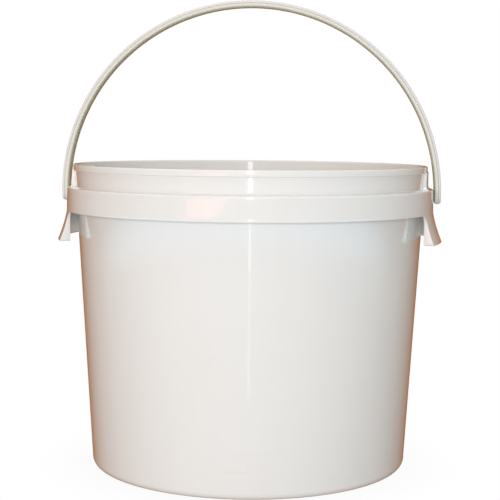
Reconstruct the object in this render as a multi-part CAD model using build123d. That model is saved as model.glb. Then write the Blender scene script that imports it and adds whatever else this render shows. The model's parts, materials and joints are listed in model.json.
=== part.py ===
from build123d import *
import math
import os

# A 10 litre moulded plastic fermenting bucket with a swinging bail handle.
# Millimetres, +Z up, X along the handle's pivot axis, origin at the middle of the
# circle that the bucket stands on. The bucket is one moulding: wall, rim bead,
# hanging collar, neck pads and the two flared ears. The handle is the other one.

# ---- Bucket: wall and base ----
bucket_height = 225.0
base_radius = 118.2        # outside of the wall, carried down to the ground
mouth_radius = 131.4       # outside of the wall, carried up to the rim
wall = 1.6
floor_thickness = 2.0
base_corner = 5.0          # outside rounding between wall and base
foot_width = 9.0           # flat ring that the bucket stands on
base_recess = 1.5          # how far the middle of the base is pushed up
recess_slope = 3.0

# ---- Bucket: rim bead that the lid snaps over ----
rim_bead = 1.1             # how far the bead stands out from the mouth of the wall
rim_height = 4.6
rim_rounding = 0.8
rim_under_rounding = 0.4

# ---- Bucket: collar, an upside-down U standing off the wall ----
collar_drop = 16.9         # from the top of the rim to the top of the collar
collar_height = 17.4
collar_standoff = 5.8      # from the mouth of the wall to the collar's lower edge
collar_draft = 0.3         # how much smaller it is at its top
collar_wall = 1.8
collar_shelf = 1.6
collar_rounding = 0.8
collar_edge_rounding = 0.5 # at its lower edge
neck_fillet = 1.6

# ---- Bucket: ears, where the collar runs on down and flares out ----
ear_drop = 21.2
ear_flare = 6.6
ear_bow = 0.6              # how far the flare sags inside a straight line
ear_half_angle = 20.0
ear_wall = 1.8
ear_root_fillet = 6.5      # hollow corner between the collar's edge and the ear's end
gusset_inset = 1.2         # gusset's inner edge, inside the collar's outer face
gusset_wall = 1.8
web_wall = 1.6
web_spacing = 18.0         # between the middles of the two webs beside the pivot
web_outer_drop = 18.9      # web's lower edge at the ear, below the collar
web_inner_drop = 16.6      # and at the bucket's wall

# ---- Bucket: neck pads above the ears ----
pad_standoff = 1.7         # from the mouth of the wall to the face of the pad
pad_half_angle = 12.3
pad_fillet = 2.8
pad_land = 0.15            # flat sliver of collar top taken in past the fillet

# ---- Handle ----
pivot_drop = 5.7           # from the top of the collar to the pivot axis
handle_clearance = 0.3     # between the handle's inner face and the collar
strap_width = 11.5
strap_thickness = 5.2
strap_step = 0.5           # outer flange's step in from the strap's sides
strap_step_height = 3.3    # from the inner face to that step
strap_inner_round = 1.3
strap_outer_round = 0.5
arm_straight = 1.6         # straight stretch between pivot and arch
channel_width = 5.2
channel_depth = 2.8
channel_end_angle = 12.0   # where the outer channel stops, above the arch's springing

# ---- Pivot studs ----
stud_radius = 3.0
stud_clearance = 0.08
stud_head_lip = 0.4        # how much wider the snap head is than the stud
stud_head_length = 1.6
stud_head_taper = 0.7
stud_head_gap = 0.3        # between the head and the collar's inner face

# ---- Levels and radii worked out from the above ----
rim_radius = mouth_radius + rim_bead
collar_radius = mouth_radius + collar_standoff
pad_radius = mouth_radius + pad_standoff
stud_head_radius = stud_radius + stud_head_lip
rim_bottom = bucket_height - rim_height
collar_top = bucket_height - collar_drop
collar_bottom = collar_top - collar_height
collar_inner_radius = collar_radius - collar_wall
shelf_bottom = collar_top - collar_shelf
ear_root = collar_bottom + collar_wall
ear_bottom = collar_bottom - ear_drop
ear_radius = collar_radius + ear_flare
gusset_radius = collar_radius - gusset_inset
pivot_height = collar_top - pivot_drop
arch_inner_radius = collar_radius + handle_clearance
arch_outer_radius = arch_inner_radius + strap_thickness
arch_height = pivot_height + arm_straight


def wall_radius(height):
    """Outside radius of the tapered wall at a height."""
    return base_radius + (mouth_radius - base_radius) * height / bucket_height


def collar_face(height):
    """Outside radius of the drafted collar at a height."""
    return collar_radius - collar_draft * (height - collar_bottom) / collar_height


def section(corners):
    """Closed section in the XZ plane from (radius, height, rounding) corners."""
    outline = make_face(Polyline([(r, z) for r, z, _ in corners], close=True)).face()
    for r, z, rounding in corners:
        if rounding > 0:
            corner = min(outline.vertices(), key=lambda v: (Vector(v) - Vector(r, z)).length)
            outline = outline.fillet_2d(rounding, [corner])
    return Plane.XZ * outline


def turned(profile, start_angle, end_angle):
    """Part of a ring: the profile turned about Z between two angles, in degrees."""
    return Rot(0, 0, start_angle) * revolve(profile, Axis.Z, end_angle - start_angle)


def both_ends(solid):
    """The same feature at the +X and the -X end of the pivot axis."""
    return solid + Rot(0, 0, 180) * solid


def shell():
    """Wall, base, rim bead and collar in one turned section."""
    foot_inner = wall_radius(0) - base_corner - foot_width
    inside_corner = base_corner - wall / 2
    return revolve(
        section([
            (0, base_recess, 0),
            (foot_inner - recess_slope, base_recess, 0),
            (foot_inner, 0, 0),
            (wall_radius(0), 0, base_corner),
            (wall_radius(shelf_bottom), shelf_bottom, 0),
            (collar_inner_radius, shelf_bottom, 0),
            (collar_inner_radius, collar_bottom, 0),
            (collar_radius, collar_bottom, collar_edge_rounding),
            (collar_radius - collar_draft, collar_top, collar_rounding),
            (wall_radius(collar_top), collar_top, neck_fillet),
            (wall_radius(rim_bottom), rim_bottom, 0),
            (rim_radius, rim_bottom, rim_under_rounding),
            (rim_radius, bucket_height, rim_rounding),
            (wall_radius(bucket_height) - wall, bucket_height, rim_rounding),
            (wall_radius(floor_thickness) - wall, base_recess + floor_thickness, inside_corner),
            (0, base_recess + floor_thickness, 0),
        ]),
        Axis.Z,
        360,
    )


def flare_line(offset, root_radius):
    """The ear's line: a rise inside the collar's wall, then the flared arc below it."""
    start = Vector(collar_radius - offset, collar_bottom)
    end = Vector(ear_radius - offset, ear_bottom)
    sag = Vector(-ear_drop, -ear_flare).normalized() * ear_bow
    arc = ThreePointArc(start, (start + end) / 2 + sag, end)
    return Line((root_radius, ear_root), start), arc


def ear_plate():
    """The flared wall of one ear, rooted in the collar."""
    outer_rise, outer_arc = flare_line(0, collar_face(ear_root))
    inner_rise, inner_arc = flare_line(ear_wall, collar_inner_radius)
    top = Line(outer_rise @ 0, inner_rise @ 0)
    bottom = Line(outer_arc @ 1, inner_arc @ 1)
    profile = Plane.XZ * make_face([outer_rise, outer_arc, bottom, inner_arc, inner_rise, top]).face()
    return turned(profile, -ear_half_angle, ear_half_angle)


def gusset_profile(bottom):
    """Triangle between the ear's flared wall and a vertical inner edge."""
    rise, arc = flare_line(0, collar_face(ear_root))
    inner_top = Vector(gusset_radius, ear_root)
    inner_bottom = Vector(gusset_radius, ear_bottom)
    inner = Polyline(arc @ 1, inner_bottom, inner_top, rise @ 0)
    triangle = make_face([rise, arc, inner]).face()
    keep = Pos(collar_radius, bottom + collar_height) * Rectangle(4 * ear_flare, 2 * collar_height)
    return Plane.XZ * (triangle & keep).face()


def gusset(side):
    """End plate of one ear, with the hollow corner that runs out along the collar's edge."""
    thickness_angle = math.degrees(gusset_wall / collar_radius)
    fillet_angle = math.degrees(ear_root_fillet / collar_radius)
    plate = turned(gusset_profile(ear_bottom), ear_half_angle - thickness_angle, ear_half_angle)
    corner_bottom = collar_bottom - ear_root_fillet
    corner = turned(gusset_profile(corner_bottom), ear_half_angle, ear_half_angle + fillet_angle)
    bore = Rot(0, 90, 0) * Cylinder(ear_root_fillet, 2 * ear_radius, align=(Align.CENTER, Align.CENTER, Align.MIN))
    hollow = Rot(0, 0, ear_half_angle + fillet_angle) * Pos(0, 0, corner_bottom) * bore
    end = plate + (corner - hollow)
    return end if side > 0 else mirror(end, Plane.XZ)


def web(side):
    """Radial plate that ties one ear to the bucket's wall beside the pivot."""
    root = wall / 2
    outer_bottom = collar_bottom - web_outer_drop
    inner_bottom = collar_bottom - web_inner_drop
    flare_at_web = collar_radius + ear_flare * web_outer_drop / ear_drop - ear_wall
    profile = section([
        (wall_radius(shelf_bottom) - root, shelf_bottom + root, 0),
        (wall_radius(inner_bottom) - root, inner_bottom, 0),
        (flare_at_web, outer_bottom, 0),
        (collar_inner_radius + root, collar_bottom, 0),
        (collar_inner_radius + root, shelf_bottom + root, 0),
    ])
    plate = extrude(profile, web_wall / 2, both=True)
    return Pos(0, side * web_spacing / 2, 0) * plate


def neck_pad():
    """Raised pad on the neck above one ear, with a hollow foot on the collar."""
    root = wall / 2
    foot_radius = pad_radius + pad_fillet + pad_land
    profile = section([
        (wall_radius(collar_top) - root, collar_top - root, 0),
        (foot_radius, collar_top - root, 0),
        (foot_radius, collar_top, 0),
        (pad_radius, collar_top, pad_fillet),
        (pad_radius, rim_bottom + root, 0),
        (wall_radius(rim_bottom) - root, rim_bottom + root, 0),
    ])
    return turned(profile, -pad_half_angle, pad_half_angle)


def stud_hole():
    """Hole through the collar for one pivot stud."""
    bore = Cylinder(stud_radius + stud_clearance, 2 * collar_wall + ear_flare)
    return Pos(collar_radius, 0, pivot_height) * Rot(0, 90, 0) * bore


def bucket():
    """The whole bucket moulding."""
    body = shell()
    body += both_ends(ear_plate())
    for side in (1, -1):
        body += both_ends(gusset(side))
        body += both_ends(web(side))
    body += both_ends(neck_pad())
    return body - both_ends(stud_hole())


def strap_section():
    """Cross-section of the strap: radius from the arch's middle against width."""
    half = strap_width / 2
    step_half = half - strap_step
    step_radius = arch_inner_radius + strap_step_height
    right = [
        (arch_inner_radius, half, strap_inner_round),
        (step_radius, half, 0),
        (step_radius, step_half, 0),
        (arch_outer_radius, step_half, strap_outer_round),
    ]
    left = [(r, -y, rounding) for r, y, rounding in reversed(right)]
    return right + left


def arch():
    """The half ring of the handle, standing on the arch's springing line."""
    outline = section(strap_section())
    flat = Plane.XY * Plane.XZ.to_local_coords(outline)
    ring = revolve(flat, Axis.Y, -180)
    channel_inner = arch_outer_radius - channel_depth
    channel = Pos(channel_inner + strap_thickness, 0) * Rectangle(2 * strap_thickness, channel_width)
    cut = Rot(0, -channel_end_angle, 0) * revolve(channel, Axis.Y, -(180 - 2 * channel_end_angle))
    return Pos(0, 0, arch_height) * (ring - cut)


def arm():
    """Rounded lower end of the handle at +X, from the arch down past the pivot."""
    steps = [
        (arch_inner_radius, strap_step_height, strap_width / 2),
        (arch_inner_radius + strap_step_height, strap_thickness - strap_step_height, strap_width / 2 - strap_step),
    ]
    solid = None
    for start, length, half in steps:
        disc = Pos(start + length / 2, 0, pivot_height) * Rot(0, 90, 0) * Cylinder(half, length)
        block = Pos(start, 0, pivot_height) * Box(
            length, 2 * half, arm_straight, align=(Align.MIN, Align.CENTER, Align.MIN)
        )
        piece = disc + block
        solid = piece if solid is None else solid + piece
    return solid


def stud():
    """Pivot stud at +X, with the head that snaps in behind the collar."""
    head_outer = collar_inner_radius - stud_head_gap
    head_inner = head_outer - stud_head_length
    profile = section([
        (0, head_inner, 0),
        (stud_head_radius - stud_head_taper, head_inner, 0),
        (stud_head_radius, head_inner + stud_head_taper, 0),
        (stud_head_radius, head_outer, 0),
        (stud_radius, head_outer, 0),
        (stud_radius, arch_inner_radius + strap_thickness / 2, 0),
        (0, arch_inner_radius + strap_thickness / 2, 0),
    ])
    return Pos(0, 0, pivot_height) * Rot(0, 90, 0) * revolve(profile, Axis.Z, 360)


def bail_handle():
    """The whole handle moulding."""
    return arch() + both_ends(arm()) + both_ends(stud())


os.makedirs("parts", exist_ok=True)
export_step(bucket(), "parts/bucket.step")
export_step(bail_handle(), "parts/bail_handle.step")
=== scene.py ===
import json
import logging
import math
from dataclasses import dataclass, replace
from enum import Enum
from typing import Sequence

import bmesh
import bpy
import numpy as np
from bpy.types import ID, Material, Mesh, Modifier, Node, NodeOutputs, NodeTree, Object, World
from bpy.types import NodeSocket as Socket
from mathutils import Matrix, Quaternion, Vector


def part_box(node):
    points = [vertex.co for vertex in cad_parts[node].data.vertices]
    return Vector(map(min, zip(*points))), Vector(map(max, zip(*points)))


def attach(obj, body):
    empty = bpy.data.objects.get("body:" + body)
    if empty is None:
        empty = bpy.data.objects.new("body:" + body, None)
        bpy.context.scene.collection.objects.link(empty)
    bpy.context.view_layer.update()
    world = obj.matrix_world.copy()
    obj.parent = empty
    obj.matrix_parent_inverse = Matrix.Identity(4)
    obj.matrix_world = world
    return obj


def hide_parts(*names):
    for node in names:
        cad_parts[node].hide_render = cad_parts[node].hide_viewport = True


# Looks of a moulded 10 litre fermenting bucket and its bail handle. The mouldings' own
# sizes are in millimetres, and those of their finishes and the studio in metres. A
# finished mesh is in metres, in the CAD's own frame.

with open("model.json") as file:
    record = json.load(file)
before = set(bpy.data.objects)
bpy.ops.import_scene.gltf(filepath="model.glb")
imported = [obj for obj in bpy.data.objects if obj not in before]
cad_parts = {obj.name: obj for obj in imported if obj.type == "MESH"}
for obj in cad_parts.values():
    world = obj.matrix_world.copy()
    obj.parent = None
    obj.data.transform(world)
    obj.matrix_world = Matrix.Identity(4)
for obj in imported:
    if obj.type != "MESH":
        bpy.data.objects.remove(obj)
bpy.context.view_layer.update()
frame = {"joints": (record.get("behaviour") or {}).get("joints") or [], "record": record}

MM = 0.001
WELD = 0.000002
SHARP = 38.0
GRID = ("station", "row")
log = logging.getLogger("fermenting_bucket")

Point = tuple[float, float]
Colour = tuple[float, float, float]


class Axis(Enum):
    """Direction that a section is turned about."""

    X = (1.0, 0.0, 0.0)
    Y = (0.0, 1.0, 0.0)
    Z = (0.0, 0.0, 1.0)


class Zone(Enum):
    """Stretch of the bucket's section that a row of the mesh belongs to."""

    TURNED = "turned"
    SKIRT_INSIDE = "skirt inside"
    EAR_INSIDE = "ear inside"
    EDGE_INSIDE = "edge inside"
    EDGE_OUTSIDE = "edge outside"
    EAR_OUTSIDE = "ear outside"
    SKIRT_OUTSIDE = "skirt outside"


@dataclass(frozen=True)
class Corner:
    """A corner of a section: where it is, how it is rounded, and how finely it is cut."""

    across: float
    up: float
    rounding: float = 0.0
    arc_steps: int = 3
    straight_steps: int = 1


def rounded_line(corners: Sequence[Corner]) -> list[Point]:
    """Points along a line whose corners are rounded.

    Args:
        corners: The line's corners in order; its two ends aren't rounded.

    Returns:
        The points, with the same number for any corners that ask for the same steps.
    """
    places = [np.array((c.across, c.up)) for c in corners]
    arcs: list[list[np.ndarray]] = []
    for index, corner in enumerate(corners):
        if index in (0, len(corners) - 1) or corner.rounding == 0:
            arcs.append([places[index]])
            continue
        into = places[index] - places[index - 1]
        out = places[index + 1] - places[index]
        into, out = into / np.linalg.norm(into), out / np.linalg.norm(out)
        turn = math.atan2(into[0] * out[1] - into[1] * out[0], float(into @ out))
        start = places[index] - into * corner.rounding * math.tan(abs(turn) / 2)
        side = np.array((-into[1], into[0])) * math.copysign(1.0, turn)
        middle = start + side * corner.rounding
        arm = start - middle
        points = []
        for step in range(corner.arc_steps + 1):
            angle = turn * step / corner.arc_steps
            points.append(middle + np.array((
                arm[0] * math.cos(angle) - arm[1] * math.sin(angle),
                arm[0] * math.sin(angle) + arm[1] * math.cos(angle),
            )))
        arcs.append(points)
    line: list[np.ndarray] = []
    for index, points in enumerate(arcs):
        line += points
        if index + 1 < len(arcs):
            start, end = points[-1], arcs[index + 1][0]
            length = float(np.linalg.norm(end - start))
            line += [start + (end - start) * share for share in shares(length, corners[index].straight_steps)]
    return [(float(p[0]), float(p[1])) for p in line]


def shares(length: float, steps: int, support: float = 0.6) -> list[float]:
    """Where a straight is cut, with a cut close to each end to hold the shading flat.

    Args:
        length: The straight's length.
        steps: How many pieces it is cut into.
        support: How far from each end the first and the last cut are, at most.

    Returns:
        Shares of the way along, without the two ends.
    """
    if steps < 2 or length <= 0:
        return []
    edge = min(support / length, 1 / steps)
    if steps == 2:
        return [edge]
    return list(np.linspace(edge, 1 - edge, steps - 1))


class Nodes:
    """Adds nodes to a tree and joins them. A short step returns its output socket."""

    def __init__(self, tree: NodeTree) -> None:
        """Keeps the tree."""
        self.tree = tree

    @classmethod
    def on(cls, owner: Material | World) -> "Nodes":
        """Empties the node tree of a material or a world, ready for its own nodes."""
        owner.use_nodes = True
        owner.node_tree.nodes.clear()
        return cls(owner.node_tree)

    @classmethod
    def group(cls, name: str, kind: str, inputs: dict[str, str],
              outputs: dict[str, str]) -> tuple["Nodes", NodeOutputs]:
        """Starts a node group with named inputs and outputs.

        Args:
            name: The group's name.
            kind: "Shader" or "Geometry".
            inputs: What each input holds, by its name.
            outputs: What each output holds, by its name.

        Returns:
            The group's nodes, and the sockets that bring its inputs in.
        """
        tree = bpy.data.node_groups.new(name, f"{kind}NodeTree")
        for way, sockets in (("INPUT", inputs), ("OUTPUT", outputs)):
            for label, holds in sockets.items():
                tree.interface.new_socket(label, in_out=way, socket_type=f"NodeSocket{holds}")
        nodes = cls(tree)
        return nodes, nodes.add("NodeGroupInput")

    def node(self, kind: str, inputs: dict | None = None, **settings: object) -> Node:
        """Adds one node.

        Args:
            kind: The node's type.
            inputs: A number, vector or socket for each input, by its name or its index.
            settings: The node's own properties.

        Returns:
            The new node.
        """
        node = self.tree.nodes.new(kind)
        for name, value in settings.items():
            setattr(node, name, value)
        for key, value in (inputs or {}).items():
            if isinstance(value, Socket):
                self.tree.links.new(value, node.inputs[key])
            else:
                node.inputs[key].default_value = value
        return node

    def add(self, kind: str, inputs: dict | None = None, **settings: object) -> NodeOutputs:
        """Adds one node, and returns its outputs."""
        return self.node(kind, inputs, **settings).outputs

    def math(self, operation: str, first: object, second: object = 0.0, clamp: bool = False) -> Socket:
        """One arithmetic step."""
        return self.add(
            "ShaderNodeMath", {0: first, 1: second}, operation=operation, use_clamp=clamp)[0]

    def times(self, first: object, second: object, clamp: bool = False) -> Socket:
        """One number times another."""
        return self.math("MULTIPLY", first, second, clamp)

    def ranged(self, value: Socket, start: float, stop: float, low: float = 0.0) -> Socket:
        """Brings a value from its own range to one that ends at 1, and holds it there."""
        return self.add("ShaderNodeMapRange", {
            "Value": value, "From Min": start, "From Max": stop, "To Min": low,
        })["Result"]

    def noise(self, place: Socket, scale: object, detail: float, roughness: float = 0.5) -> Socket:
        """Soft noise at a place."""
        return self.add("ShaderNodeTexNoise", {
            "Vector": place, "Scale": scale, "Detail": detail, "Roughness": roughness,
        })["Fac"]

    def mixed(self, share: object, first: Socket | Colour, second: Socket | Colour,
              blend: str = "MIX") -> Socket:
        """Two colours mixed, added or multiplied."""
        pair = [(*c, 1.0) if isinstance(c, tuple) else c for c in (first, second)]
        return self.add("ShaderNodeMix", {0: share, 6: pair[0], 7: pair[1]},
                        data_type="RGBA", blend_type=blend)[2]

    def split(self, vector: Socket) -> NodeOutputs:
        """A vector's X, Y and Z."""
        return self.add("ShaderNodeSeparateXYZ", {0: vector})

    def joined(self, **axes: object) -> Socket:
        """A vector from its X, Y and Z."""
        return self.add("ShaderNodeCombineXYZ", axes)[0]

    def length(self, vector: Socket) -> Socket:
        """A vector's length."""
        return self.add("ShaderNodeVectorMath", {0: vector}, operation="LENGTH")["Value"]

    def dress(self, shape: Socket, material: Socket, name: str) -> None:
        """Ends a geometry tree: makes the shape real, gives it its material and puts it out."""
        real = self.add("GeometryNodeRealizeInstances", {"Geometry": shape})["Geometry"]
        dressed = self.add("GeometryNodeSetMaterial", {"Geometry": real, "Material": material})
        self.add("NodeGroupOutput", {name: dressed["Geometry"]})


def linked(name: str, data: ID) -> Object:
    """Puts a mesh, a light or a camera in the scene as an object."""
    thing = bpy.data.objects.new(name, data)
    bpy.context.scene.collection.objects.link(thing)
    return thing


def discard(thing: Object) -> None:
    """Removes an object and its mesh."""
    mesh = thing.data
    bpy.data.objects.remove(thing)
    bpy.data.meshes.remove(mesh)


def line_object(name: str, points: Sequence[Sequence[float]]) -> Object:
    """An object whose mesh is a line of points, in metres, for a tree to read."""
    mesh = bpy.data.meshes.new(name)
    mesh.from_pydata([tuple(map(float, p)) for p in points], [(i, i + 1) for i in range(len(points) - 1)], [])
    return linked(name, mesh)


def bmesh_object(name: str, work: bmesh.types.BMesh) -> Object:
    """Makes an object of a finished bmesh.

    Args:
        name: The object's name.
        work: The bmesh, which is freed.

    Returns:
        The object, linked to the scene.
    """
    mesh = bpy.data.meshes.new(name)
    work.to_mesh(mesh)
    work.free()
    return linked(name, mesh)


def applied(thing: Object, modifier: Modifier) -> Mesh:
    """Takes an object's shape, as its modifier leaves it, as a plain mesh.

    Args:
        thing: The object.
        modifier: Its modifier, which is removed.

    Returns:
        The mesh.
    """
    graph = bpy.context.evaluated_depsgraph_get()
    mesh = bpy.data.meshes.new_from_object(thing.evaluated_get(graph))
    thing.modifiers.remove(modifier)
    return mesh


def plain_mesh(thing: Object, tree: NodeTree, values: dict[str, object]) -> Mesh:
    """Runs a geometry tree on an object and takes its result as a plain mesh.

    Args:
        thing: The object that the tree starts from; it is removed afterwards.
        tree: The geometry tree.
        values: The tree's inputs, by name.

    Returns:
        The finished mesh.
    """
    modifier = thing.modifiers.new(tree.name, "NODES")
    modifier.node_group = tree
    sockets = {s.name: s.identifier for s in tree.interface.items_tree if s.in_out == "INPUT"}
    for name, value in values.items():
        modifier[sockets[name]] = value
    mesh = applied(thing, modifier)
    discard(thing)
    return mesh


def grid_numbers(mesh: Mesh) -> list[np.ndarray]:
    """Station and row of each point of a turned mesh."""
    numbers = [np.empty(len(mesh.vertices), np.int32) for _ in GRID]
    for name, values in zip(GRID, numbers):
        mesh.attributes[name].data.foreach_get("value", values)
    return numbers


def move_points(mesh: Mesh, *axes: np.ndarray) -> None:
    """Moves a mesh's points to new X, Y and Z places, given in millimetres."""
    spots = np.stack(axes, axis=1) * MM
    mesh.vertices.foreach_set("co", spots.astype(np.float32).ravel())
    mesh.update()


class TurningTree:
    """Geometry Nodes tree that turns a section through a list of angles into a moulding."""

    def __init__(self) -> None:
        """Builds the tree."""
        nodes, given = Nodes.group("turned moulding", "Geometry", {
            "Section": "Geometry", "Stations": "Object", "Axis": "Vector", "Centre": "Vector",
            "Material": "Material",
        }, {"Moulding": "Geometry"})
        stations = nodes.add("GeometryNodeObjectInfo", {"Object": given["Stations"]})["Geometry"]
        rows, turns = (
            nodes.add("GeometryNodeAttributeDomainSize", {"Geometry": line})["Point Count"]
            for line in (given["Section"], stations))
        grid = nodes.add("GeometryNodeMeshGrid", {"Vertices X": turns, "Vertices Y": rows})["Mesh"]
        index = nodes.add("GeometryNodeInputIndex")["Index"]
        station, row = (
            nodes.add("FunctionNodeIntegerMath", {0: index, 1: rows}, operation=operation)[0]
            for operation in ("DIVIDE_FLOOR", "MODULO"))
        place = self._sample(nodes, given["Section"], row)
        angle = nodes.split(self._sample(nodes, stations, station))["X"]
        turned = nodes.add("ShaderNodeVectorRotate", {
            "Vector": place, "Center": given["Centre"], "Axis": given["Axis"], "Angle": angle,
        }, rotation_type="AXIS_ANGLE")["Vector"]
        shape = nodes.add("GeometryNodeSetPosition", {"Geometry": grid, "Position": turned})["Geometry"]
        for name, value in zip(GRID, (station, row)):
            shape = nodes.add("GeometryNodeStoreNamedAttribute", {
                "Geometry": shape, "Name": name, "Value": value,
            }, data_type="INT", domain="POINT")["Geometry"]
        nodes.dress(shape, given["Material"], "Moulding")
        self.tree = nodes.tree

    @staticmethod
    def _sample(nodes: Nodes, line: Socket, index: Socket) -> Socket:
        """The place of one point of a line; returns the socket."""
        place = nodes.add("GeometryNodeInputPosition")["Position"]
        return nodes.add("GeometryNodeSampleIndex", {
            "Geometry": line, "Value": place, "Index": index,
        }, data_type="FLOAT_VECTOR", domain="POINT")["Value"]

    def turn(self, section: Sequence[Vector], angles: Sequence[float], axis: Axis, centre: Vector,
             material: Material) -> Mesh:
        """Turns a section.

        Args:
            section: The section's points, in metres.
            angles: The angles that it is turned to, in degrees.
            axis: Direction of the axis.
            centre: A point on the axis, in metres.
            material: The moulding's material.

        Returns:
            A mesh of one column of points for each angle, with "station" and "row" attributes.
        """
        turns = np.zeros((len(angles), 3))
        turns[:, 0] = np.radians(angles)
        stations = line_object("stations", turns)
        mesh = plain_mesh(line_object("section", section), self.tree, {
            "Stations": stations, "Axis": axis.value, "Centre": tuple(centre), "Material": material,
        })
        discard(stations)
        return mesh


class RibTree:
    """Geometry Nodes tree that sets copies of a rib side by side at both ends of the X axis."""

    def __init__(self) -> None:
        """Builds the tree."""
        nodes, given = Nodes.group("ear ribs", "Geometry", {
            "Rib": "Geometry", "Count": "Int", "Spacing": "Float", "Material": "Material",
        }, {"Ribs": "Geometry"})
        gaps = nodes.math("SUBTRACT", given["Count"], 1.0)
        first = nodes.times(nodes.times(gaps, given["Spacing"]), -0.5)
        places = nodes.add("GeometryNodeMeshLine", {
            "Count": given["Count"], "Start Location": nodes.joined(Y=first),
            "Offset": nodes.joined(Y=given["Spacing"]),
        })["Mesh"]
        near = nodes.add("GeometryNodeInstanceOnPoints", {
            "Points": places, "Instance": given["Rib"]})[0]
        far = nodes.add("GeometryNodeTransform", {
            "Geometry": near, "Rotation": (0.0, 0.0, math.pi)})[0]
        both = nodes.node("GeometryNodeJoinGeometry")
        for part in (near, far):
            nodes.tree.links.new(part, both.inputs[0])
        nodes.dress(both.outputs[0], given["Material"], "Ribs")
        self.tree = nodes.tree


def closed_piece(name: str, meshes: Sequence[Mesh], material: Material) -> Object:
    """Joins meshes into one closed piece, welded and with its faces pointing outwards.

    Args:
        name: The piece's name.
        meshes: The meshes, in metres and in place; they are removed afterwards.
        material: The piece's material.

    Returns:
        The piece's object.
    """
    work = bmesh.new()
    for mesh in meshes:
        work.from_mesh(mesh)
        bpy.data.meshes.remove(mesh)
    bmesh.ops.remove_doubles(work, verts=work.verts, dist=WELD)
    bmesh.ops.dissolve_degenerate(work, edges=work.edges, dist=WELD / 4)
    bmesh.ops.recalc_face_normals(work, faces=work.faces)
    for face in work.faces:
        face.smooth = True
        face.material_index = 0
    loose = sum(not edge.is_manifold for edge in work.edges)
    piece = bmesh_object(name, work)
    result = piece.data
    for attribute in GRID:
        if attribute in result.attributes:
            result.attributes.remove(result.attributes[attribute])
    result.materials.clear()
    result.materials.append(material)
    result.set_sharp_from_angle(angle=math.radians(SHARP))
    log.info("%s: %d faces, %d open edges", name, len(result.polygons), loose)
    return piece


class SurfaceGroups:
    """Shader node groups that the bucket's and the handle's plastic share."""

    cloud_range: Point = (0.38, 0.68)
    streak_range: Point = (0.45, 0.75)
    mark_range: Point = (0.66, 0.74)
    patch_range: Point = (0.45, 0.7)
    patch_size: float = 28.0
    patch_dulling: float = 0.18
    least_wear: float = 0.25
    stretches: tuple[tuple[float, float, float], ...] = ((220.0, 220.0, 18.0), (30.0, 30.0, 420.0))

    def __init__(self) -> None:
        """Builds the groups."""
        self.flow = self._flow()
        self.wear = self._wear()

    def _flow(self) -> NodeTree:
        """Cloudy, faintly streaked colour of moulded polypropylene.

        Returns:
            The group, which puts out a colour and a fine height.
        """
        sizes = ("Cloud Size", "Cloud Amount", "Around", "Outward", "Upward", "Streak Amount", "Peel Size")
        nodes, given = Nodes.group("moulded flow", "Shader", {
            "Place": "Vector", "Plastic": "Color", "Cloud": "Color", **dict.fromkeys(sizes, "Float"),
        }, {"Color": "Color", "Height": "Float"})
        place = given["Place"]
        axes = nodes.split(place)
        around = nodes.math("ARCTAN2", axes["Y"], axes["X"])
        squares = [nodes.times(axes[k], axes[k]) for k in "XY"]
        outward = nodes.times(nodes.math("SQRT", nodes.math("ADD", *squares)), given["Outward"])
        stretched = nodes.joined(
            X=nodes.times(nodes.math("COSINE", around), given["Around"]),
            Y=nodes.times(nodes.math("SINE", around), given["Around"]),
            Z=nodes.math("ADD", outward, nodes.times(axes["Z"], given["Upward"])))
        cloud = nodes.noise(place, given["Cloud Size"], detail=4.0, roughness=0.55)
        streak = nodes.noise(stretched, 1.0, detail=2.0)
        clouds = nodes.times(nodes.ranged(cloud, *self.cloud_range), given["Cloud Amount"])
        streaks = nodes.times(nodes.ranged(streak, *self.streak_range), given["Streak Amount"])
        mask = nodes.math("ADD", clouds, streaks, clamp=True)
        peel = nodes.noise(place, given["Peel Size"], detail=2.0)
        nodes.add("NodeGroupOutput", {
            "Color": nodes.mixed(mask, given["Plastic"], given["Cloud"]),
            "Height": nodes.math("ADD", nodes.times(peel, 0.6), nodes.times(streak, 0.4)),
        })
        return nodes.tree

    def _wear(self) -> NodeTree:
        """Hair-fine scuffs, thicker near one level of the piece, where it is handled.

        Returns:
            The group, which puts out a scuff mask and a roughness.
        """
        sizes = ("Level", "Reach", "Amount", "Smooth", "Dull")
        nodes, given = Nodes.group("scuffs", "Shader", {
            "Place": "Vector", **dict.fromkeys(sizes, "Float"),
        }, {"Mask": "Float", "Roughness": "Float"})
        place = given["Place"]
        marks = []
        for stretch in self.stretches:
            stretched = nodes.add("ShaderNodeVectorMath", {0: place, 1: stretch}, operation="MULTIPLY")[0]
            marks.append(nodes.ranged(nodes.noise(stretched, 1.0, detail=1.0), *self.mark_range))
        patches = nodes.ranged(nodes.noise(place, self.patch_size, detail=3.0), *self.patch_range)
        height = nodes.math("ABSOLUTE", nodes.math("SUBTRACT", nodes.split(place)["Z"], given["Level"]))
        away = nodes.math("DIVIDE", height, given["Reach"])
        near = nodes.math("ADD", nodes.math("SUBTRACT", 1.0, away, clamp=True), self.least_wear, clamp=True)
        lines = nodes.times(nodes.math("MAXIMUM", *marks), patches)
        mask = nodes.times(nodes.times(lines, near), given["Amount"], clamp=True)
        dulled = nodes.math("MAXIMUM", mask, nodes.times(patches, self.patch_dulling))
        rough = nodes.add(
            "ShaderNodeMix", {0: dulled, 2: given["Smooth"], 3: given["Dull"]}, data_type="FLOAT")[0]
        nodes.add("NodeGroupOutput", {"Mask": mask, "Roughness": rough})
        return nodes.tree


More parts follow.
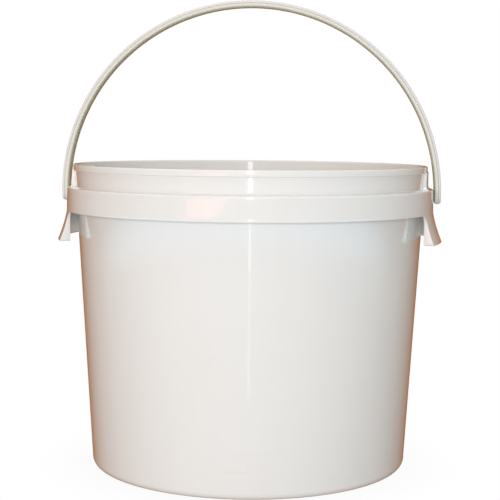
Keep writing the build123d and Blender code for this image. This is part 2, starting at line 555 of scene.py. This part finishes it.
@dataclass(frozen=True)
class PlasticFinish:
    """Finish of one moulding; the radii of its rings of painted shade are in millimetres."""

    name: str
    plastic: Colour
    cloud: Colour
    cloud_size: float
    cloud_amount: float
    around: float
    outward: float
    upward: float
    streak_amount: float
    smooth: float
    dull: float
    wear_level: float
    wear_reach: float
    wear_amount: float
    coat: float
    coat_roughness: float
    bump: float
    glow: float = 0.12
    glow_depth: float = 0.003
    glow_radius: Colour = (1.0, 0.85, 0.7)
    peel_size: float = 260.0
    peel_depth: float = 0.0002
    scuffed: Colour = (0.80, 0.78, 0.74)
    centre: tuple[float, float, float] = (0.0, 0.0, 0.0)
    lean: float = 0.0
    # Rings of painted shade across a strap's face, by radius in millimetres: colours that stand in for how
    # light falls on it.
    painted_shade_bands: tuple[tuple[float, Colour], ...] = ()

    def _painted_shade(self, nodes: Nodes, place: Socket, plain: Socket) -> Socket:
        """Paints shade in rings round the finish's centre: the strap's light and shade across its face,
        painted as colour.

        Args:
            nodes: The material's nodes.
            place: The place on the piece, centred and turned.
            plain: The colour before it is tinted.

        Returns:
            The colour with its painted shade.
        """
        spot = nodes.split(place)
        reach = nodes.length(nodes.joined(X=spot["X"], Y=spot["Y"]))
        first, last = self.painted_shade_bands[0][0], self.painted_shade_bands[-1][0]
        ramp = nodes.node("ShaderNodeValToRGB", {0: nodes.ranged(reach, first * MM, last * MM)})
        stops = ramp.color_ramp.elements
        while len(stops) < len(self.painted_shade_bands):
            stops.new(0.5)
        for stop, (radius, tint) in zip(stops, self.painted_shade_bands):
            stop.position = (radius - first) / (last - first)
            stop.color = (*tint, 1.0)
        return nodes.mixed(1.0, plain, ramp.outputs["Color"], "MULTIPLY")

    def material(self, groups: SurfaceGroups) -> Material:
        """Builds the material.

        Args:
            groups: The shared node groups.

        Returns:
            The material.
        """
        material = bpy.data.materials.new(self.name)
        nodes = Nodes.on(material)
        place = nodes.add("ShaderNodeTexCoord")["Object"]
        turned = nodes.add("ShaderNodeMapping", {
            "Vector": place, "Location": self.centre, "Rotation": (math.radians(self.lean), 0.0, 0.0),
        }, vector_type="TEXTURE")["Vector"]
        flow = nodes.add("ShaderNodeGroup", {
            "Place": turned, "Plastic": (*self.plastic, 1.0), "Cloud": (*self.cloud, 1.0),
            "Cloud Size": self.cloud_size, "Cloud Amount": self.cloud_amount, "Around": self.around,
            "Outward": self.outward, "Upward": self.upward, "Streak Amount": self.streak_amount,
            "Peel Size": self.peel_size,
        }, node_tree=groups.flow)
        wear = nodes.add("ShaderNodeGroup", {
            "Place": place, "Level": self.wear_level, "Reach": self.wear_reach,
            "Amount": self.wear_amount, "Smooth": self.smooth, "Dull": self.dull,
        }, node_tree=groups.wear)
        colour = nodes.mixed(wear["Mask"], flow["Color"], self.scuffed)
        # Painted shade: darker and lighter rings of colour across the strap's face stand in for its shading.
        if self.painted_shade_bands:
            colour = self._painted_shade(nodes, turned, colour)
        relief = nodes.add("ShaderNodeBump", {
            "Height": flow["Height"], "Strength": self.bump, "Distance": self.peel_depth,
        })["Normal"]
        shader = nodes.add("ShaderNodeBsdfPrincipled", {
            "Base Color": colour, "Roughness": wear["Roughness"], "IOR": 1.5,
            "Subsurface Weight": self.glow, "Subsurface Scale": self.glow_depth,
            "Subsurface Radius": self.glow_radius, "Coat Weight": self.coat,
            "Coat Roughness": self.coat_roughness, "Normal": relief,
        })
        nodes.add("ShaderNodeOutputMaterial", {"Surface": shader["BSDF"]})
        return material


BUCKET_FINISH = PlasticFinish(
    name="bucket_polypropylene", plastic=(0.87, 0.868, 0.86), cloud=(0.84, 0.832, 0.82), cloud_size=9.0,
    cloud_amount=0.35, around=9.0, outward=0.0, upward=12.0, streak_amount=0.25, smooth=0.2, dull=0.34,
    wear_level=0.0, wear_reach=0.07, wear_amount=0.3, coat=1.0, coat_roughness=0.03, bump=0.03,
)
HANDLE_FINISH = PlasticFinish(
    name="handle_polypropylene", plastic=(0.82, 0.815, 0.80), cloud=(0.79, 0.785, 0.755), cloud_size=30.0,
    cloud_amount=0.4, around=5.0, outward=240.0, upward=200.0, streak_amount=0.3, smooth=0.26, dull=0.4,
    wear_level=0.343, wear_reach=0.04, wear_amount=0.3, coat=0.4, coat_roughness=0.08, bump=0.02,
    centre=(0.0, 0.0, 0.204), lean=90.0,
    # Painted shade across the strap's face, by radius: olive painted shade on the inner edge, a grey painted
    # shadow line at the step, a darker outer edge, and faint tints between.
    painted_shade_bands=(
        (137.4, (0.56, 0.555, 0.42)), (138.3, (0.60, 0.60, 0.47)), (139.0, (0.96, 0.975, 0.90)),
        (140.2, (1.0, 0.995, 0.97)), (140.6, (0.74, 0.725, 0.71)), (140.95, (0.74, 0.715, 0.71)),
        (141.3, (1.0, 0.965, 0.96)), (142.2, (1.0, 0.95, 0.95)), (142.7, (0.94, 0.90, 0.89)),
    ),
)


@dataclass(frozen=True)
class Column:
    """One column of the bucket's mesh: where it starts, and where it meets the skirt's edge."""

    top: float
    edge: float
    level: float
    out_across: float
    out_up: float
    gusset: bool = False
    pad: float = 0.0
    base: float = 0.0
    sign: float = 1.0


@dataclass(frozen=True)
class Row:
    """One row of the bucket's mesh: its place in the section, plain and at a neck pad."""

    zone: Zone
    radius: float = 0.0
    level: float = 0.0
    pad_radius: float = 0.0
    pad_level: float = 0.0
    share: float = 0.0
    turn: float = 0.0


@dataclass
class BucketMoulding:
    """The bucket: wall, base, rim bead, collar with its two flared ears, neck pads and ribs."""

    turning: TurningTree
    material: Material
    height: float
    collar_radius: float
    ear_radius: float
    rim_radius: float
    pivot_level: float
    base_radius: float = 118.2
    mouth_radius: float = 131.4
    wall: float = 1.6
    floor: float = 3.5
    base_corner: float = 5.0
    foot_width: float = 9.0
    base_recess: float = 1.5
    recess_slope: float = 3.0
    floor_corner: float = 4.2
    foot_rounding: float = 0.8
    shelf_rounding: float = 0.5
    rim_height: float = 4.6
    rim_rounding: float = 0.8
    rim_under_rounding: float = 0.4
    collar_drop: float = 16.9
    collar_height: float = 17.4
    collar_draft: float = 0.3
    collar_wall: float = 1.8
    collar_shelf: float = 1.6
    slant_drop: float = 1.0
    neck_fillet: float = 1.6
    neck_rounding: float = 0.3
    ear_drop: float = 21.2
    ear_bow: float = 0.6
    ear_half_angle: float = 20.0
    ear_corner: float = 1.2
    ear_root_fillet: float = 6.5
    gusset_inset: float = 1.2
    gusset_wall: float = 1.8
    edge_rounding: float = 0.45
    pad_radius: float = 133.1
    pad_half_angle: float = 12.3
    pad_fillet: float = 2.8
    pad_under_rounding: float = 0.15
    pad_ledge: float = 0.8
    pad_ease: float = 0.1
    web_wall: float = 1.6
    web_spacing: float = 18.0
    web_outer_drop: float = 18.9
    web_inner_drop: float = 16.6
    web_rounding: float = 0.35
    hole_radius: float = 3.08
    hole_depth: float = 6.0
    hole_inset: float = 1.5
    hole_steps: int = 48

    def __post_init__(self) -> None:
        """Works out the levels, then lays out the rows and columns."""
        self.rim_bottom = self.height - self.rim_height
        self.collar_top = self.height - self.collar_drop
        self.collar_bottom = self.collar_top - self.collar_height
        self.collar_inner = self.collar_radius - self.collar_wall
        self.shelf_bottom = self.collar_top - self.collar_shelf
        self.ear_bottom = self.collar_bottom - self.ear_drop
        self.slant_top = self.shelf_bottom - self.slant_drop
        self.gusset_radius = self.collar_radius - self.gusset_inset
        self.rows = self._rows()
        self.columns = self._columns()

    def wall_radius(self, level: float) -> float:
        """Outside radius of the tapered wall at a level."""
        return self.base_radius + (self.mouth_radius - self.base_radius) * level / self.height

    def collar_face(self, level: float) -> float:
        """Outside radius of the collar at a level."""
        return self.collar_radius - self.collar_draft * (level - self.collar_bottom) / self.collar_height

    def ear_face(self, level: float) -> float:
        """Outside radius of the flared ear, which is bowed a little.

        Args:
            level: A level below the collar.

        Returns:
            The radius.
        """
        flare = self.ear_radius - self.collar_radius
        chord = math.hypot(flare, self.ear_drop)
        radius = chord * chord / (8 * self.ear_bow) + self.ear_bow / 2
        across = self.collar_radius + flare / 2 + self.ear_drop / chord * (radius - self.ear_bow)
        up = self.collar_bottom - self.ear_drop / 2 + flare / chord * (radius - self.ear_bow)
        return across - math.sqrt(radius * radius - (level - up) ** 2)

    def outside(self, level: float) -> float:
        """Outside radius of the collar or the ear at a level."""
        return self.collar_face(level) if level >= self.collar_bottom else self.ear_face(level)

    def _rows(self) -> list[Row]:
        """Lays out the section from the middle of the base, out, up and back inside.

        Returns:
            The rows, in order.
        """
        foot = self.wall_radius(0) - self.base_corner - self.foot_width
        under = rounded_line([
            Corner(0, self.base_recess, straight_steps=6),
            Corner(foot - self.recess_slope, self.base_recess, self.foot_rounding, 2, 1),
            Corner(foot, 0, self.foot_rounding, 2, 3),
            Corner(self.wall_radius(0), 0, self.base_corner, 7, 9),
            Corner(self.wall_radius(self.shelf_bottom), self.shelf_bottom, self.shelf_rounding, 3, 2),
            Corner(self.collar_inner, self.shelf_bottom, self.shelf_rounding, 3, 1),
            Corner(self.collar_inner, self.slant_top),
        ])
        levels = np.linspace(self.slant_top, self.collar_bottom, 6)[1:]
        down = np.linspace(0.0, 1.0, 10)
        turns = [math.radians(t) for t in (30.0, 60.0, 90.0)]
        return [
            *(Row(Zone.TURNED, r, z, r, z) for r, z in under),
            *(Row(Zone.SKIRT_INSIDE, level=z) for z in levels),
            *(Row(Zone.EAR_INSIDE, share=s) for s in down),
            *(Row(Zone.EDGE_INSIDE, turn=t) for t in turns),
            *(Row(Zone.EDGE_OUTSIDE, turn=t) for t in reversed(turns)),
            *(Row(Zone.EAR_OUTSIDE, share=s) for s in reversed(down)),
            *(Row(Zone.SKIRT_OUTSIDE, level=z) for z in reversed(levels)),
            *(Row(Zone.TURNED, *plain, *padded) for plain, padded in zip(*map(self._above, (False, True)))),
        ]

    def _above(self, padded: bool) -> list[Point]:
        """The section above the skirt: collar's top, neck, rim, inside wall and floor.

        Args:
            padded: Whether the section goes through a neck pad.

        Returns:
            The section's points.
        """
        low, ledge = self.collar_top, self.rim_bottom
        root, neck = self.wall_radius(low), self.wall_radius(ledge)
        fillet, under = self.neck_fillet, self.rim_under_rounding
        if padded:
            ledge += self.pad_ledge
            root = neck = self.pad_radius
            fillet, under = self.pad_fillet, self.pad_under_rounding
        return rounded_line([
            Corner(self.collar_face(self.slant_top), self.slant_top),
            Corner(self.collar_face(low), low, self.rim_rounding, 5, 2),
            Corner(root, low, fillet, 6, 3),
            Corner(neck, ledge, self.neck_rounding, 3, 1),
            Corner(self.rim_radius, ledge, under, 3, 2),
            Corner(self.rim_radius, self.height, self.rim_rounding, 5, 2),
            Corner(self.mouth_radius - self.wall, self.height, self.rim_rounding, 5, 9),
            Corner(self.wall_radius(self.floor) - self.wall, self.floor, self.floor_corner, 7, 6),
            Corner(0, self.floor),
        ])

    def _columns(self) -> list[Column]:
        """Lays out the columns all round: even on the wall, close at the ears' ends.

        Returns:
            The columns, from +X round to +X again.
        """
        arc = math.radians(1.0) * self.collar_radius
        end = self.ear_half_angle * arc
        gusset = end - self.gusset_wall
        quarter: list[Column] = []
        pad, ease = self.pad_half_angle, self.pad_ease
        for angle in [*np.linspace(0, pad - 0.18, 14), pad - ease, pad - 0.03, pad + 0.03, pad + ease,
                      *np.linspace(pad + 0.18, gusset / arc - 0.02, 9), gusset / arc + 0.02]:
            inside = min(max((pad + ease - angle) / (2 * ease), 0.0), 1.0)
            weight = inside * inside * (3 - 2 * inside)
            across = angle * arc
            quarter.append(Column(across, across, self.ear_bottom, 0, -1, across > gusset, weight))
        corner, fillet = self.ear_corner, self.ear_root_fillet
        root = self.collar_bottom - fillet
        edge = [(end - corner + corner * math.sin(t), self.ear_bottom + corner - corner * math.cos(t),
                 math.sin(t), -math.cos(t)) for t in np.linspace(0, math.pi / 2, 5)]
        edge += [(end, z, 1.0, 0.0) for z in np.linspace(self.ear_bottom + corner, root, 8)[1:-1]]
        for top, (across, up, out, rise) in zip(np.linspace(gusset + 0.2, end - 0.1, len(edge)), edge):
            quarter.append(Column(top, across, up, out, rise, True))
        for step in np.linspace(0, 1, 9):
            t = step * math.pi / 2
            quarter.append(Column(end + fillet * step, end + fillet - fillet * math.cos(t),
                                  root + fillet * math.sin(t), math.cos(t), -math.sin(t), True))
        last = end / arc + fillet / arc
        for angle in np.linspace(last, 90, 66)[1:]:
            quarter.append(Column(angle * arc, angle * arc, self.collar_bottom, 0, -1))
        ring: list[Column] = []
        for base, sign in ((0.0, 1.0), (180.0, -1.0), (180.0, 1.0), (360.0, -1.0)):
            run = quarter if sign > 0 else quarter[::-1]
            ring += [replace(column, base=base, sign=sign) for column in (run[1:] if ring else run)]
        return ring

    def angle(self, column: Column, across: float) -> float:
        """Angle in degrees of a distance along the collar on one column's side."""
        return column.base + column.sign * math.degrees(across / self.collar_radius)

    def place(self, column: Column, row: Row) -> tuple[float, float, float]:
        """Where one row crosses one column.

        Args:
            column: The column.
            row: The row.

        Returns:
            Angle in degrees, radius and level.
        """
        if row.zone is Zone.TURNED:
            weight = column.pad
            return (self.angle(column, column.top), row.radius + weight * (row.pad_radius - row.radius),
                    row.level + weight * (row.pad_level - row.level))
        round_by = self.edge_rounding
        end_across = column.edge - round_by * column.out_across
        end_level = column.level - round_by * column.out_up
        knee = max(self.collar_bottom, end_level)
        inside = row.zone in (Zone.SKIRT_INSIDE, Zone.EAR_INSIDE, Zone.EDGE_INSIDE)
        if row.zone in (Zone.EDGE_INSIDE, Zone.EDGE_OUTSIDE):
            level = end_level + column.out_up * round_by * math.sin(row.turn)
            across = end_across + column.out_across * round_by * math.sin(row.turn)
        else:
            skirt = row.zone in (Zone.SKIRT_INSIDE, Zone.SKIRT_OUTSIDE)
            level = max(row.level, knee) if skirt else knee + (end_level - knee) * row.share
            share = (self.slant_top - level) / (self.slant_top - end_level)
            across = column.top + (end_across - column.top) * share
        radius = self.outside(level)
        if inside:
            hanging = end_level < self.collar_bottom and row.zone is not Zone.SKIRT_INSIDE
            if not hanging:
                radius = self.collar_inner
            elif column.gusset:
                radius = self.gusset_radius
            else:
                radius = self.ear_face(level) - self.collar_wall
        trim = round_by * (1 - math.cos(row.turn))
        return self.angle(column, across), radius + trim if inside else radius - trim, level

    def shell(self) -> Object:
        """Builds the bucket's one moulding, without its ribs.

        Returns:
            The piece's object.
        """
        section = [Vector((row.radius * MM, 0, row.level * MM)) for row in self.rows]
        angles = [self.angle(column, column.top) for column in self.columns]
        mesh = self.turning.turn(section, angles, Axis.Z, Vector(), self.material)
        station, line = grid_numbers(mesh)
        places = np.array([[self.place(column, row) for row in self.rows] for column in self.columns])
        angle, radius, level = places[station, line].T
        turn = np.radians(angle)
        move_points(mesh, radius * np.cos(turn), radius * np.sin(turn), level)
        piece = closed_piece("bucket_shell", [mesh], self.material)
        self._drill(piece)
        return piece

    def _drill(self, piece: Object) -> None:
        """Cuts the two pivot holes through the collar.

        Args:
            piece: The shell.
        """
        work = bmesh.new()
        radius = self.hole_radius * MM
        for side in (1, -1):
            across = side * (self.collar_radius - self.hole_inset)
            middle = Matrix.Translation((across * MM, 0, self.pivot_level * MM))
            bmesh.ops.create_cone(
                work, cap_ends=True, segments=self.hole_steps, radius1=radius, radius2=radius,
                depth=self.hole_depth * MM, matrix=middle @ Matrix.Rotation(math.pi / 2, 4, "Y"),
            )
        drill = bmesh_object("pivot drill", work)
        cut = piece.modifiers.new("pivot holes", "BOOLEAN")
        cut.operation, cut.solver, cut.object = "DIFFERENCE", "EXACT", drill
        old, piece.data = piece.data, applied(piece, cut)
        bpy.data.meshes.remove(old)
        discard(drill)
        piece.data.name = piece.name
        log.info("%s: %d faces with its pivot holes", piece.name, len(piece.data.polygons))

    def ribs(self, tree: RibTree) -> Object:
        """Builds the two ribs behind each ear, which tie it to the wall.

        Args:
            tree: The tree that sets out the ribs.

        Returns:
            The piece's object.
        """
        inner = self.collar_bottom - self.web_inner_drop
        outer = self.collar_bottom - self.web_outer_drop
        root = self.wall / 2
        outline = rounded_line([
            Corner(self.wall_radius(self.shelf_bottom) - root, self.shelf_bottom + root),
            Corner(self.wall_radius(inner) - root, inner),
            Corner(self.ear_face(outer) - self.collar_wall, outer),
            Corner(self.collar_inner + root, self.collar_bottom),
            Corner(self.collar_inner + root, self.shelf_bottom + root),
        ])
        work = bmesh.new()
        half = self.web_wall / 2
        face = work.faces.new([work.verts.new((r * MM, -half * MM, z * MM)) for r, z in outline])
        grown = bmesh.ops.extrude_face_region(work, geom=[face])
        moved = [item for item in grown["geom"] if isinstance(item, bmesh.types.BMVert)]
        bmesh.ops.translate(work, verts=moved, vec=(0, 2 * half * MM, 0))
        below = self.collar_bottom * MM - 0.01
        lower = [edge for edge in work.edges if all(v.co.z < below for v in edge.verts)]
        bmesh.ops.bevel(
            work, geom=lower, offset=self.web_rounding * MM, segments=3, affect="EDGES", profile=0.5)
        result = plain_mesh(bmesh_object("rib", work), tree.tree, {
            "Count": 2, "Spacing": self.web_spacing * MM, "Material": self.material,
        })
        return closed_piece("ear_ribs", [result], self.material)


@dataclass
class BailHandle:
    """The bail handle: a stepped, channelled strap bent over the mouth, with two pivot studs."""

    turning: TurningTree
    material: Material
    outer_radius: float
    half_width: float
    pivot_level: float
    apex: float
    collar_inner: float
    thickness: float = 5.2
    step_in: float = 0.5
    step_height: float = 3.3
    inner_round: float = 2.4
    outer_round: float = 0.9
    step_round: float = 0.45
    step_root_round: float = 0.04
    channel_half: float = 2.6
    channel_depth: float = 2.8
    channel_end: float = 12.0
    channel_ramp: float = 1.4
    lip_width: float = 0.3
    lip_round: float = 0.25
    floor_round: float = 0.6
    stud_radius: float = 3.0
    head_radius: float = 3.4
    head_length: float = 1.6
    head_taper: float = 0.7
    head_gap: float = 0.3

    def __post_init__(self) -> None:
        """Works out the arch from the sizes."""
        self.inner_radius = self.outer_radius - self.thickness
        self.arch_level = self.apex - self.outer_radius
        self.pivot = Vector((0, 0, self.pivot_level * MM))

    def half_section(self, open_channel: bool) -> list[Point]:
        """Half of the strap's section, from the middle of its inner face round to its outer one.

        Args:
            open_channel: Whether the outer channel is cut.

        Returns:
            Radius and half-width of each point.
        """
        half, flange = self.half_width, self.half_width - self.step_in
        step = self.inner_radius + self.step_height
        outer = self.outer_radius
        floor = outer - self.channel_depth
        lip = Corner(outer, self.channel_half + self.lip_width)
        flank = rounded_line([
            Corner(self.inner_radius, 0, straight_steps=3),
            Corner(self.inner_radius, half, self.inner_round, 5, 1),
            Corner(step, half, self.step_round, 4, 1),
            Corner(step, flange, self.step_root_round, 2, 1),
            Corner(outer, flange, self.outer_round, 4, 1),
            lip,
        ])
        lips = rounded_line([
            lip,
            Corner(outer, self.channel_half, self.lip_round, 3, 2),
            Corner(floor, self.channel_half, self.floor_round, 3, 2),
            Corner(floor, 0),
        ])[1:]
        if not open_channel:
            lips = [(outer, y) for _, y in lips]
        return flank + lips

    def arch(self) -> Mesh:
        """Builds the arch and the short straights below it, down to the pivot.

        Returns:
            The mesh.
        """
        loop = [(o[0], *c) for o, c in zip(self.half_section(True), self.half_section(False))]
        ring = loop + [(opened, closed, -y) for opened, closed, y in reversed(loop)] + loop[:1]
        start, ramp = self.channel_end, self.channel_ramp
        climb = [*np.linspace(0, start, 9), *(start + ramp * np.linspace(0, 1, 7)[1:])]
        middle = list(np.linspace(start + ramp, 180 - start - ramp, 125)[1:-1])
        angles = [0.0, *climb, *middle, *(180 - a for a in reversed(climb)), 180.0]
        centre = Vector((0, 0, self.arch_level * MM))
        section = [Vector((closed * MM, y * MM, 0)) + centre for _, closed, y in ring]
        mesh = self.turning.turn(section, [-a for a in angles], Axis.Y, centre, self.material)
        station, line = grid_numbers(mesh)
        turn = np.radians(angles)[station]
        from_end = np.minimum(np.degrees(turn), 180 - np.degrees(turn))
        into = np.clip((from_end - start) / ramp, 0, 1)
        depth = np.sqrt(1 - (1 - into) ** 2)
        opened, closed, across = np.array(ring)[line].T
        radius = closed + depth * (opened - closed)
        level = self.arch_level + radius * np.sin(turn)
        ends = (station == 0) | (station == len(angles) - 1)
        level = np.where(ends, self.pivot_level, level)
        move_points(mesh, radius * np.cos(turn), across, level)
        return mesh

    def _about_pivot(self, side: int, outline: Sequence[Point], angles: np.ndarray) -> Mesh:
        """Turns an outline about the pivot; side is 1 for the arm at +X and -1 for the other."""
        section = [Vector((side * across * MM, up * MM, 0)) + self.pivot for across, up in outline]
        return self.turning.turn(section, angles, Axis.X, self.pivot, self.material)

    def end(self, side: int) -> Mesh:
        """Builds the half-round lower end of one arm: half a strap turned about the pivot."""
        return self._about_pivot(side, self.half_section(False), -np.linspace(0, 180, 33))

    def stud(self, side: int) -> Mesh:
        """Builds one pivot stud with its snap head.

        Args:
            side: 1 for the stud at +X, -1 for the one at -X.

        Returns:
            The mesh.
        """
        outer = self.collar_inner - self.head_gap
        inner = outer - self.head_length
        root = self.inner_radius + self.thickness / 2
        return self._about_pivot(side, rounded_line([
            Corner(inner, 0, straight_steps=2),
            Corner(inner, self.head_radius - self.head_taper, 0.25, 2, 1),
            Corner(inner + self.head_taper, self.head_radius, 0.2, 2, 1),
            Corner(outer, self.head_radius, 0.15, 2, 1),
            Corner(outer, self.stud_radius, 0.1, 2, 2),
            Corner(root, self.stud_radius),
            Corner(root, 0),
        ]), np.linspace(0, 360, 41))

    def strap(self) -> Object:
        """Builds the whole handle: the arch, its two ends and its two studs."""
        meshes = [self.arch()]
        for side in (1, -1):
            meshes += [self.end(side), self.stud(side)]
        return closed_piece("bail_handle_strap", meshes, self.material)


@dataclass(frozen=True)
class Backdrop:
    """Colours of the studio: what is seen, what gives light, and what shows in the gloss."""

    seen: Colour = (1.0, 1.0, 1.0)
    fill_left: Colour = (0.40, 0.25, 0.16)
    fill_right: Colour = (0.25, 0.325, 0.34)
    fill_behind: Colour = (2.0, 2.02, 2.04)
    fill_above: Colour = (1.9, 1.92, 1.94)
    bounce: Colour = (0.51, 0.535, 0.525)
    bounce_near: Colour = (0.41, 0.405, 0.39)
    gloss_low: Colour = (0.33, 0.115, 0.015)
    gloss_high: Colour = (0.38, 0.34, 0.31)
    gloss_ring: Colour = (0.85, 1.2, 1.5)
    behind_from: float = 0.65
    above_from: float = 0.7
    gloss_rise: Point = (0.05, 0.6)
    bounce_reach: Point = (0.11, 0.40)
    ring_start: Point = (0.88, 1.06)
    ring_end: Point = (1.38, 1.25)
    ring_front: Point = (0.25, -0.25)
    floor_shade: float = 0.07
    shade_reach: float = 0.05
    floor_half: float = 4.0


@dataclass(frozen=True)
class AreaLight:
    """One area light, placed by its angle from the camera's side, to the right."""

    name: str
    turn: float
    distance: float
    height: float
    aim: float
    width: float
    tall: float
    power: float
    colour: Colour = (1.0, 1.0, 1.0)
    gloss_only: bool = True
    upward: bool = False
    roll: float = 0.0


@dataclass
class Studio:
    """Camera, lights, floor and backdrop, with sizes in metres."""

    backdrop: Backdrop = Backdrop()
    camera_turn: float = 4.0
    camera_distance: float = 0.9702
    camera_height: float = 0.25215
    camera_pitch: float = 5.41
    camera_roll: float = 0.458
    camera_shift: float = 0.0002
    lens: float = 92.5
    sensor: float = 36.0
    lights: tuple[AreaLight, ...] = (
        AreaLight("key", -8.0, 2.2, 0.40, 0.12, 1.4, 0.6, 27.8, (0.985, 1.0, 1.02), gloss_only=False),
        AreaLight("flash", 0.0, 1.0, 0.30, 0.25, 0.060, 0.10, 0.12),
        AreaLight("far_streak", 0.0, 1.52, 0.004, 0.0, 0.066, 0.44, 0.70, upward=True),
        AreaLight("middle_streak", 0.0, 1.04, 0.004, 0.0, 0.018, 0.50, 0.085, upward=True),
        AreaLight("warm_cloth", -24.0, 1.08, 0.200, 0.21, 0.46, 0.10, 0.30, (1.0, 0.36, 0.30), roll=8.5),
        AreaLight("near_streak", 0.0, 0.55, 0.004, 0.0, 0.012, 0.46, 0.018, upward=True),
    )

    def spot(self, turn: float, distance: float, height: float) -> Vector:
        """A place round the object, by its angle from the camera's side."""
        angle = math.radians(self.camera_turn + turn)
        return Vector((distance * math.sin(angle), -distance * math.cos(angle), height))

    def camera(self) -> None:
        """Builds the camera and makes it the scene's own."""
        data = bpy.data.cameras.new("camera")
        data.lens, data.sensor_width = self.lens, self.sensor
        camera = linked("camera", data)
        turn = math.radians(self.camera_turn)
        right = Vector((math.cos(turn), math.sin(turn), 0.0))
        place = self.spot(0.0, self.camera_distance, self.camera_height) + right * self.camera_shift
        camera.matrix_world = (
            Matrix.Translation(place)
            @ Matrix.Rotation(turn, 4, "Z")
            @ Matrix.Rotation(math.radians(90 - self.camera_pitch), 4, "X")
            @ Matrix.Rotation(math.radians(self.camera_roll), 4, "Z")
        )
        bpy.context.scene.camera = camera

    def shine(self) -> None:
        """Builds the area lights: the key lights the object, and the others show in its gloss."""
        for light in self.lights:
            data = bpy.data.lights.new(light.name, "AREA")
            data.shape, data.size, data.size_y = "RECTANGLE", light.width, light.tall
            data.energy, data.color = light.power, light.colour
            lamp = linked(light.name, data)
            lamp.location = self.spot(light.turn, light.distance, light.height)
            if light.upward:
                lamp.rotation_euler = (math.pi, 0.0, math.radians(self.camera_turn + light.turn))
            else:
                aim = Vector((0, 0, light.aim)) - lamp.location
                roll = Quaternion((0.0, 0.0, 1.0), math.radians(light.roll))
                lamp.rotation_euler = (aim.to_track_quat("-Z", "Y") @ roll).to_euler()
            lamp.visible_camera = False
            lamp.visible_glossy = light.gloss_only
            lamp.visible_diffuse = not light.gloss_only

    @staticmethod
    def _by_ray(nodes: Nodes, seen: Socket | Colour, gloss: Socket, plain: Socket) -> Socket:
        """One colour for the camera, one for gloss and one for everything else."""
        path = nodes.add("ShaderNodeLightPath")
        return nodes.mixed(path["Is Camera Ray"], nodes.mixed(path["Is Glossy Ray"], plain, gloss), seen)

    def world(self) -> None:
        """Builds the world: white where it is seen, soft fill, and a darker room in the gloss."""
        world = bpy.data.worlds.new("studio")
        bpy.context.scene.world = world
        nodes = Nodes.on(world)
        backdrop = self.backdrop
        axes = nodes.split(nodes.add("ShaderNodeTexCoord")["Generated"])
        fill = nodes.mixed(nodes.ranged(axes["X"], -1.0, 1.0), backdrop.fill_left, backdrop.fill_right)
        for axis, start, colour in (("Y", backdrop.behind_from, backdrop.fill_behind),
                                    ("Z", backdrop.above_from, backdrop.fill_above)):
            fill = nodes.mixed(nodes.ranged(axes[axis], start, 1.0), fill, colour, "ADD")
        rise = nodes.ranged(axes["Z"], *backdrop.gloss_rise)
        gloss = nodes.mixed(rise, backdrop.gloss_low, backdrop.gloss_high)
        light = nodes.add("ShaderNodeBackground", {
            "Color": self._by_ray(nodes, backdrop.seen, gloss, fill), "Strength": 1.0})
        nodes.add("ShaderNodeOutputWorld", {"Surface": light["Background"]})

    def floor(self) -> None:
        """Builds the plain pale floor, with a contact shade and a cool strip in the gloss in front."""
        backdrop = self.backdrop
        half = backdrop.floor_half
        mesh = bpy.data.meshes.new("floor")
        mesh.from_pydata(
            [(-half, -half, 0), (half, -half, 0), (half, half, 0), (-half, half, 0)], [], [(0, 1, 2, 3)])
        floor = linked("floor", mesh)
        material = bpy.data.materials.new("pale_floor")
        nodes = Nodes.on(material)
        material.cycles.emission_sampling = "NONE"
        shade = nodes.add("ShaderNodeAmbientOcclusion", {"Distance": backdrop.shade_reach}, samples=8)
        bright = nodes.ranged(shade["AO"], 0.0, 1.0, low=1 - backdrop.floor_shade)
        seen = nodes.add("ShaderNodeCombineColor", {0: bright, 1: bright, 2: bright})[0]
        place = nodes.add("ShaderNodeTexCoord")["Object"]
        reach = nodes.length(place)
        facing = nodes.math("DIVIDE", nodes.split(place)["Y"], reach)
        bounce = nodes.mixed(
            nodes.ranged(reach, *backdrop.bounce_reach), backdrop.bounce_near, backdrop.bounce)
        ring = nodes.times(
            nodes.ranged(reach, *backdrop.ring_start), nodes.ranged(reach, *backdrop.ring_end))
        strip = nodes.times(ring, nodes.ranged(facing, *backdrop.ring_front))
        gloss = nodes.mixed(strip, backdrop.gloss_low, backdrop.gloss_ring)
        glow = nodes.add("ShaderNodeEmission", {
            "Color": self._by_ray(nodes, seen, gloss, bounce), "Strength": 1.0})
        nodes.add("ShaderNodeOutputMaterial", {"Surface": glow["Emission"]})
        mesh.materials.append(material)

    def build(self) -> None:
        """Builds the whole studio."""
        bpy.context.scene.view_settings.view_transform = "Standard"
        self.camera()
        self.shine()
        self.world()
        self.floor()


def report(piece: Object, body: str) -> None:
    """Seats a piece on its body, and logs its size.

    Args:
        piece: The piece's object.
        body: The body that it rides on.
    """
    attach(piece, body)
    size = [round(value / MM, 1) for value in piece.dimensions]
    log.info("%s rides on %s: %s mm", piece.name, body, size)


def main() -> None:
    """Builds the bucket, the handle and the studio, in that order."""
    record = frame["record"]
    pivot = frame["joints"][0]["pos_m"][2] / MM
    rim = next(m for m in record["mounts"] if m["name"] == "lid_rim")["dims"]["r_mm"]
    _, bucket_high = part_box("bucket")
    _, handle_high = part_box("bail_handle")
    groups = SurfaceGroups()
    turning = TurningTree()
    bucket = BucketMoulding(
        turning=turning, material=BUCKET_FINISH.material(groups), height=bucket_high.z / MM,
        collar_radius=bucket_high.y / MM, ear_radius=bucket_high.x / MM, rim_radius=rim, pivot_level=pivot,
    )
    shell = bucket.shell()
    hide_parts("bucket")
    report(shell, "bucket_body")
    report(bucket.ribs(RibTree()), "bucket_body")
    handle = BailHandle(
        turning=turning, material=HANDLE_FINISH.material(groups), outer_radius=handle_high.x / MM,
        half_width=handle_high.y / MM, pivot_level=pivot, apex=handle_high.z / MM,
        collar_inner=bucket.collar_inner,
    )
    strap = handle.strap()
    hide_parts("bail_handle")
    report(strap, "handle_body")
    Studio().build()


if __name__ == "__main__":
    logging.basicConfig(level=logging.INFO, format="%(name)s: %(message)s")
    main()
